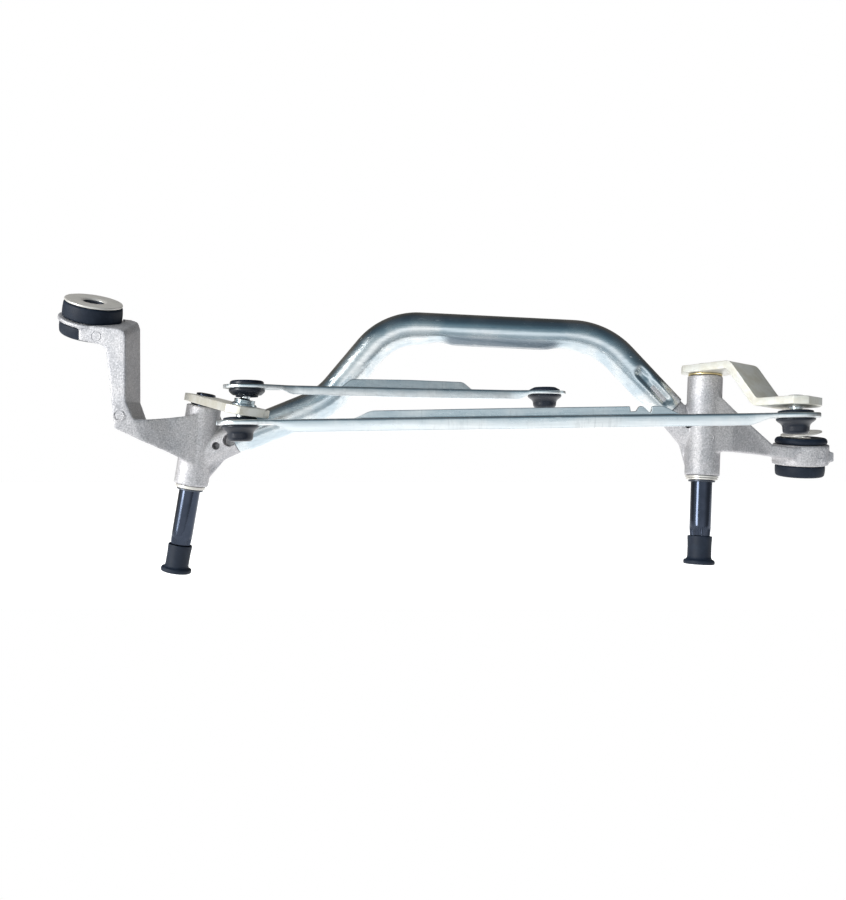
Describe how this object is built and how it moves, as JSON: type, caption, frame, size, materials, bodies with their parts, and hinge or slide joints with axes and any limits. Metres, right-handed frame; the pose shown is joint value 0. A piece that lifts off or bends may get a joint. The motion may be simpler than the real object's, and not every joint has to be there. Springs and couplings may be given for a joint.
{
  "type": "windscreen wiper linkage",
  "caption": "Wiper linkage: a bent tube frame between two cast pivot housings, with crank arms on knurled spindles, ball-jointed links and rubber-bushed mounts.",
  "frame": {"origin": "midway between the two crank seats, on the plane that holds both pivots", "axes": "+X from the left pivot to the right pivot, -Y towards the cranks and links, +Z away from the wiper-arm ends of the spindles"},
  "size_m": [0.5237, 0.1146, 0.1898],
  "materials": {
    "zinc_tube": "bright zinc-plated steel tube, cool grey, lightly scratched",
    "cast_aluminium": "as-cast aluminium, matt and fine-grained",
    "zinc_crank": "stamped steel, yellowish zinc, satin",
    "zinc_link": "stamped steel strip, bright zinc, cool grey",
    "polished_steel": "ground and polished dark steel",
    "bright_steel": "bright plated steel",
    "sintered_bronze": "sintered bronze, matt",
    "brass": "brass sheet",
    "black_rubber": "black rubber, matt with a blue cast",
    "black_plastic": "black moulded plastic, satin",
    "dark_spring_steel": "phosphated spring steel"
  },
  "bodies": {
    "frame": {"frame_tube": "zinc_tube", "left_pivot_housing": "cast_aluminium", "right_pivot_housing": "cast_aluminium", "left_upper_bush": "sintered_bronze", "left_lower_bush": "sintered_bronze", "right_upper_bush": "sintered_bronze", "right_lower_bush": "sintered_bronze", "left_grommet_upper": "black_rubber", "left_grommet_lower": "black_rubber", "left_grommet_sleeve": "bright_steel", "right_grommet_upper": "black_rubber", "right_grommet_lower": "black_rubber", "right_grommet_sleeve": "bright_steel", "right_grommet_washer": "bright_steel"},
    "left_crank": {"left_crank_arm": "zinc_crank", "left_spindle": "polished_steel", "left_spindle_cap": "black_rubber", "left_double_ball_stud": "bright_steel", "left_o_ring": "black_rubber", "left_thrust_washer": "bright_steel", "left_retaining_ring": "dark_spring_steel"},
    "right_crank": {"right_crank_arm": "zinc_crank", "right_spindle": "polished_steel", "right_spindle_cap": "black_rubber", "right_ball_stud": "bright_steel", "right_top_shim": "brass", "right_o_ring": "black_rubber", "right_thrust_washer": "bright_steel", "right_wave_washer": "bright_steel", "right_retaining_ring": "dark_spring_steel"},
    "long_link": {"long_link_rod": "zinc_link", "long_link_left_socket": "black_plastic", "long_link_right_socket": "black_plastic", "long_link_left_seal": "black_rubber", "long_link_right_seal": "black_rubber"},
    "short_link_boot": {"short_link_left_seal": "black_rubber"},
    "short_link": {"short_link_rod": "zinc_link", "short_link_left_socket": "black_plastic", "short_link_right_socket": "black_plastic", "short_link_right_seal": "black_rubber"}
  },
  "joints": [
    {"name": "left_pivot", "type": "hinge", "parent": "frame", "child": "left_crank", "pos_m": [-0.17, 0, -0.01], "axis": [0.1804, -0.0429, 0.9827], "range_deg": [-50, 30]},
    {"name": "right_pivot", "type": "hinge", "parent": "frame", "child": "right_crank", "pos_m": [0.17, 0, 0.01], "axis": [0.0505, 0.0523, 0.9974], "range_deg": [-50, 30]},
    {"name": "long_link_ball", "type": "hinge", "parent": "left_crank", "child": "long_link", "pos_m": [-0.13423, -0.05787, -0.02927], "axis": [0.15, -0.0307, 0.9882], "range_deg": [-30, 50]},
    {"name": "short_link_ball", "type": "hinge", "parent": "left_crank", "child": "short_link_boot", "pos_m": [-0.12997, -0.05889, -0.00608], "axis": [0.1804, -0.0429, 0.9827], "range_deg": [-30, 50]},
    {"name": "short_link_swing", "type": "hinge", "parent": "short_link_boot", "child": "short_link", "pos_m": [-0.12997, -0.05889, -0.00608], "axis": [0, 0, 1], "range_deg": [-13, 4.5]}
  ],
  "couplings": [
    {"joint": "right_pivot", "follows": "left_pivot", "ratio": 0.9815},
    {"joint": "long_link_ball", "follows": "left_pivot", "ratio": -0.9996},
    {"joint": "short_link_ball", "follows": "left_pivot", "ratio": -1}
  ]
}
